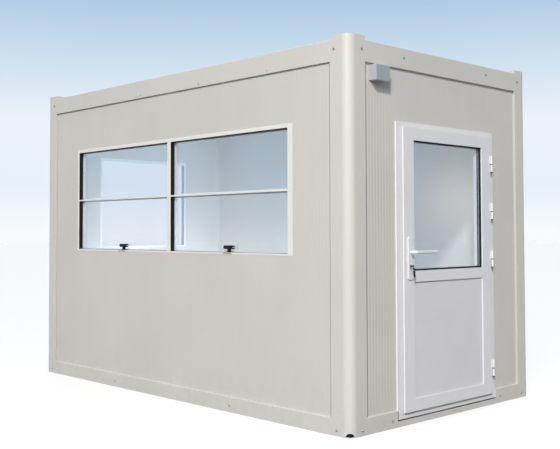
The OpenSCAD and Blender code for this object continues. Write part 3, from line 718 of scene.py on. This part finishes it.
# Flat cover on the connection box
COVER_MARGIN, COVER_RISE = 0.004, 0.0004
box_lo, box_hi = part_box("connection_box")
half_w = (box_hi.y - box_lo.y) / 2 - COVER_MARGIN
half_h = (box_hi.z - box_lo.z) / 2 - COVER_MARGIN
cover_at = Vector((box_hi.x + COVER_RISE, (box_lo.y + box_hi.y) / 2, (box_lo.z + box_hi.z) / 2))
cover_outline = round_outline(half_w, -half_h, half_h, radius=0.006)
cover = bmesh.new()
slab(cover, cover_outline, cover_at, Y, UP, thickness=0.0024, bevel=0.0006)
piece("box_cover", cover, "booth", "box_plastic", look=cover_look, smooth=40)

# Keeper plates of the window latches, on the sill's face
LATCH_HALF = 0.057
KEEPER_RISE, KEEPER_UP = 0.0008, 0.0068
sill_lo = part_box("front_window_frame")[0]
latch_lo, latch_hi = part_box("front_window_latches")
keeper = round_outline(half_w=0.048, low=-0.0052, high=0.0052, radius=0.0035)
keepers = bmesh.new()
for along in (latch_lo.x + LATCH_HALF, latch_hi.x - LATCH_HALF):
    keeper_at = Vector((along, sill_lo.y - KEEPER_RISE, sill_lo.z + KEEPER_UP))
    slab(keepers, keeper, keeper_at, X, UP, thickness=0.0026, bevel=0.0006)
piece("latch_keepers", keepers, "booth", "white_plastic", look=seal_look, smooth=40)

# Thin gaskets at the foot of the front panes, on both sides of the upright
UPRIGHT_W = 0.044
GASKET_RISE, GASKET_HALF = 0.002, 0.0012
glass_lo, glass_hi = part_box("front_window_glass")
left_end = (glass_lo.x + glass_hi.x - UPRIGHT_W) / 2
right_start = (glass_lo.x + glass_hi.x + UPRIGHT_W) / 2
gaskets = bmesh.new()
for start, end in ((glass_lo.x, left_end), (right_start, glass_hi.x)):
    gasket = round_outline((end - start) / 2, -GASKET_HALF, GASKET_HALF, radius=0.0006, steps=2)
    gasket_at = Vector(((start + end) / 2, glass_lo.y - GASKET_RISE, glass_lo.z + GASKET_HALF))
    slab(gaskets, gasket, gasket_at, X, UP, thickness=0.004, bevel=0.0003)
piece("sill_gaskets", gaskets, "booth", "black_rubber", smooth=40)


# Stage, light and camera

FLOOR_HALF = 90
FLOOR_GLOW = 0.05
floor_mesh = bpy.data.meshes.new("floor")
floor_corners = [(x * FLOOR_HALF, y * FLOOR_HALF, 0) for x, y in ((-1, -1), (1, -1), (1, 1), (-1, 1))]
floor_mesh.from_pydata(floor_corners, [], [(0, 1, 2, 3)])
floor = bpy.data.objects.new("floor", floor_mesh)
bpy.context.scene.collection.objects.link(floor)
floor_look = Look("floor_look")
shown = floor_look.seen()
floor_look.set(
    Base_Color=floor_look.mix(shown, linear(104, 104, 104), linear(248, 248, 248)),
    Roughness=0.9,
    Specular_IOR_Level=0.0,
    Emission_Color=linear(255, 255, 255),
    Emission_Strength=floor_look.math("MULTIPLY", shown, FLOOR_GLOW),
)
floor_mesh.materials.append(floor_look.material)

# The world shows a pale sky and lights the part with an even cool fill
FILL_COLOUR = (0.83, 0.90, 1.0, 1)
FILL_STRENGTH = 0.385
world = bpy.data.worlds.new("world")
bpy.context.scene.world = world
world.use_nodes = True
world.node_tree.nodes.clear()
nodes = Nodes(world.node_tree)
way = nodes.add("ShaderNodeTexCoord").outputs["Generated"]
ramp = nodes.add("ShaderNodeValToRGB", Fac=nodes.add("ShaderNodeSeparateXYZ", Vector=way).outputs["Z"])
stops = ramp.color_ramp.elements
stops[0].position = 0.0
stops[0].color = linear(247, 250, 252)
stops[1].position = 0.26
stops[1].color = linear(170, 200, 227)
stops.new(0.05).color = linear(231, 241, 249)
stops.new(0.12).color = linear(234, 243, 250)
sky = nodes.add("ShaderNodeBackground", Color=ramp.outputs["Color"]).outputs[0]
fill = nodes.add("ShaderNodeBackground", Color=FILL_COLOUR, Strength=FILL_STRENGTH).outputs[0]
nodes.add("ShaderNodeOutputWorld", Surface=nodes.blend(nodes.seen(), fill, sky))


def lamp(name, kind, energy, colour, place, towards):
    """A lamp at a place, turned towards a point."""
    light = bpy.data.lights.new(name, kind)
    light.energy = energy
    light.color = colour
    obj = bpy.data.objects.new(name, light)
    obj.location = place
    obj.rotation_euler = (Vector(towards) - Vector(place)).to_track_quat("-Z", "Y").to_euler()
    bpy.context.scene.collection.objects.link(obj)
    return obj


def room_lamp(name, energy, colour, place, towards, width, depth):
    """A flat lamp in the room that lights it and isn't seen itself."""
    obj = lamp(name, "AREA", energy, colour, place, towards)
    obj.data.shape = "RECTANGLE"
    obj.data.size = width
    obj.data.size_y = depth
    obj.visible_camera = False
    obj.visible_glossy = False
    obj.visible_transmission = False


KEY_COLOUR = (1.0, 0.972, 0.93)
BACK_COLOUR = (0.93, 0.96, 1.0)
CENTRE = (0, 0, 0)
NEAR_POST = (HALF_LENGTH, -HALF_WIDTH, 1.3)
key = lamp("key", "SUN", 2.6, KEY_COLOUR, (4.98, -6.8, 5.36), CENTRE)
key.data.angle = math.radians(5)
soft = lamp("soft_box", "AREA", 292, KEY_COLOUR, (6.30, -7.28, 5.20), NEAR_POST)
soft.data.size = 2.5
back = lamp("back_fill", "SUN", 1.2, BACK_COLOUR, (-5.0, 6.0, 4.0), CENTRE)
back.data.angle = math.radians(70)

# Daylight that the room's floor, ceiling and walls throw back: name, watts, colour, place, the point
# that it faces, width and depth
room_lamp("room_floor", 14.0, (0.72, 0.90, 1.0), (0, 0, 0.10), (0, 0, 2), 3.4, 1.7)
room_lamp("room_ceiling", 8.2, (0.0, 0.42, 1.0), (-0.4, 0, 2.40), (-0.4, 0, 0), 2.6, 1.7)
room_lamp("room_low_end", 4.6, (1.0, 0.95, 0.95), (-1.35, 0, 0.70), (-1.85, 0, 1.0), 1.8, 0.15)
room_lamp("room_corner", 10.5, (1.0, 0.95, 0.86), (-0.9, 0.1, 0.12), (-1.6, 0.8, 0.9), 1.0, 1.0)
room_lamp("bounce_front", 9.2, (0.70, 0.85, 1.0), (0, -0.95, 0.55), (0, 1.0, 0.75), 3.4, 0.8)
room_lamp("bounce_end", 30.0, (0.72, 0.86, 1.0), (0.7, 0, 0.55), (-1.85, 0, 0.75), 1.9, 0.8)
room_lamp("room_door", 1.0, (1.0, 0.80, 0.58), (1.32, 0.60, 1.62), (1.32, 1.0, 1.62), 0.6, 0.12)

# The camera as fitted to the photograph's corners, beam lines and post edges
FOCAL_PX, FRAME_W, FRAME_H, AXIS_ROW = 882.29, 560, 449, 200
CAMERA_AT = (5.6930, -5.2896, 1.3195)
CAMERA_DEGREES = (46.2532, 2.0230, -0.1477)
SENSOR_MM = 36
CLIP_END = 400
yaw, pitch, roll = (math.radians(a) for a in CAMERA_DEGREES)
forward = Vector((-math.sin(yaw) * math.cos(pitch), math.cos(yaw) * math.cos(pitch), math.sin(pitch)))
level = Vector((math.cos(yaw), math.sin(yaw), 0))
upward = level.cross(forward)
camera_x = math.cos(roll) * level + math.sin(roll) * upward
camera_y = math.cos(roll) * upward - math.sin(roll) * level
camera_turn = Matrix((camera_x, camera_y, -forward)).transposed().to_4x4()
camera = bpy.data.objects.new("camera", bpy.data.cameras.new("camera"))
bpy.context.scene.collection.objects.link(camera)
camera.matrix_world = Matrix.Translation(CAMERA_AT) @ camera_turn
camera.data.sensor_width = SENSOR_MM
camera.data.lens = FOCAL_PX / FRAME_W * SENSOR_MM
camera.data.shift_y = (AXIS_ROW - FRAME_H / 2) / FRAME_W
camera.data.clip_end = CLIP_END
bpy.context.scene.camera = camera
bpy.context.scene.view_settings.view_transform = "Standard"
